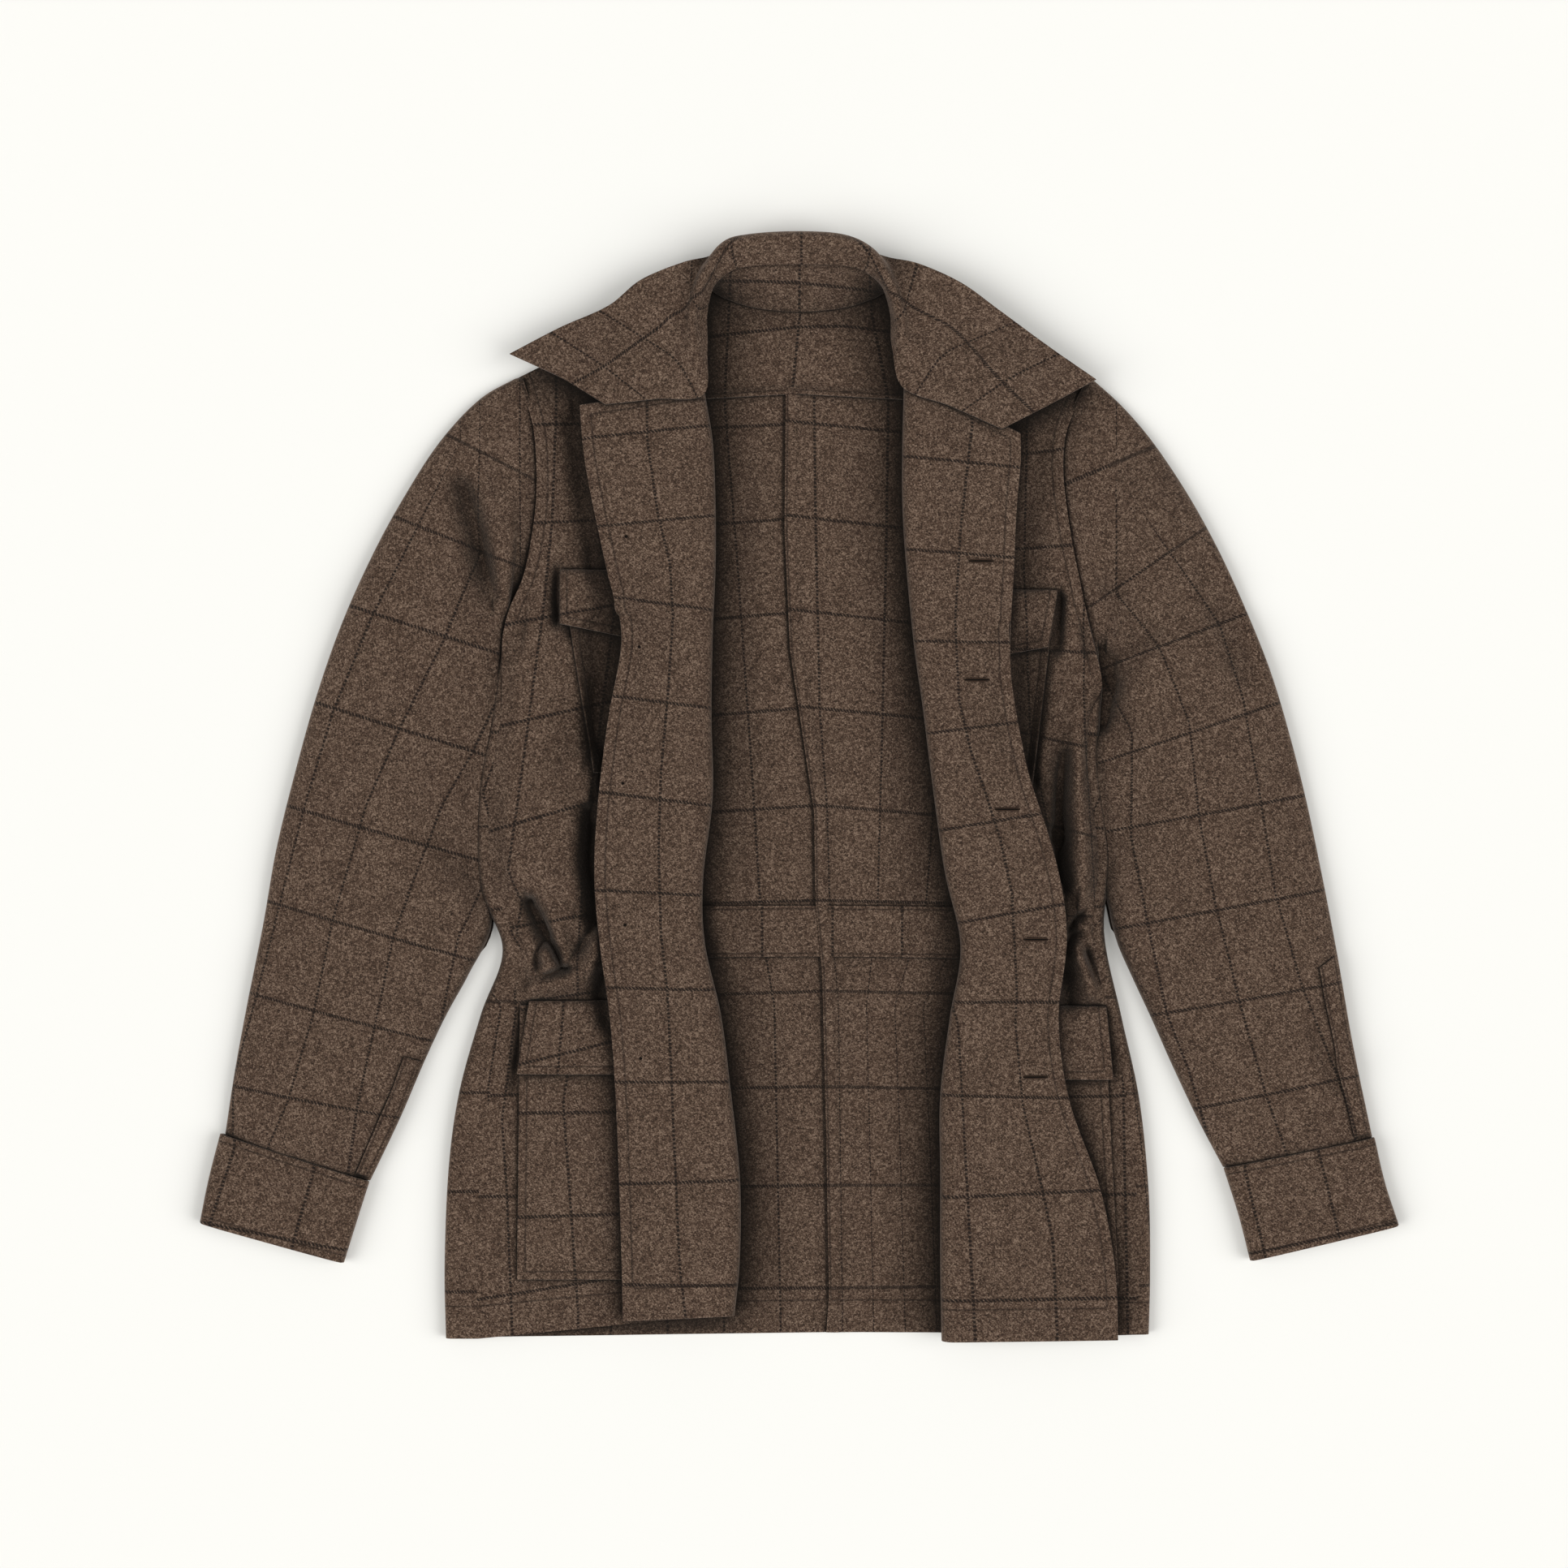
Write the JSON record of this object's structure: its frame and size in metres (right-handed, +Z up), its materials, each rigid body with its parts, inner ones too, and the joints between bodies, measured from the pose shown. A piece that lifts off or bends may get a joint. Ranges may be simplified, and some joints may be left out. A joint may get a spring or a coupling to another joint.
{
  "type": "safari jacket",
  "caption": "Heavy checked wool safari jacket laid open on its back, front edges turned out, collar spread, waist drawn in and sleeves out to the sides.",
  "frame": {"origin": "bottom centre of the bounding box, on the surface the jacket lies on", "axes": "+Z up from the surface, +Y towards the collar, +X to the right as seen from above, across the spread sleeves"},
  "size_m": [0.8891, 0.8163, 0.0416],
  "materials": {
    "wool": "brushed heathered wool cloth in brown with a dark windowpane check, matt",
    "horn": "dark brown horn-like button, satin"
  },
  "bodies": {
    "root": {"back_left": "wool", "back_right": "wool", "yoke": "wool", "front_left": "wool", "front_right": "wool", "facing_left": "wool", "facing_right": "wool", "collar_stand": "wool", "collar_fall": "wool", "waist_casing": "wool", "sleeve_upper_left": "wool", "sleeve_upper_right": "wool", "sleeve_under_left": "wool", "sleeve_under_right": "wool", "placket_left": "wool", "placket_right": "wool", "cuff_left": "wool", "cuff_right": "wool", "chest_pocket_left": "wool", "chest_pocket_right": "wool", "hip_pocket_left": "wool", "hip_pocket_right": "wool", "chest_flap_left": "wool", "chest_flap_right": "wool", "hip_flap_left": "wool", "hip_flap_right": "wool", "button_1": "horn", "button_2": "horn", "button_3": "horn", "button_4": "horn", "button_5": "horn"}
  },
  "joints": []
}
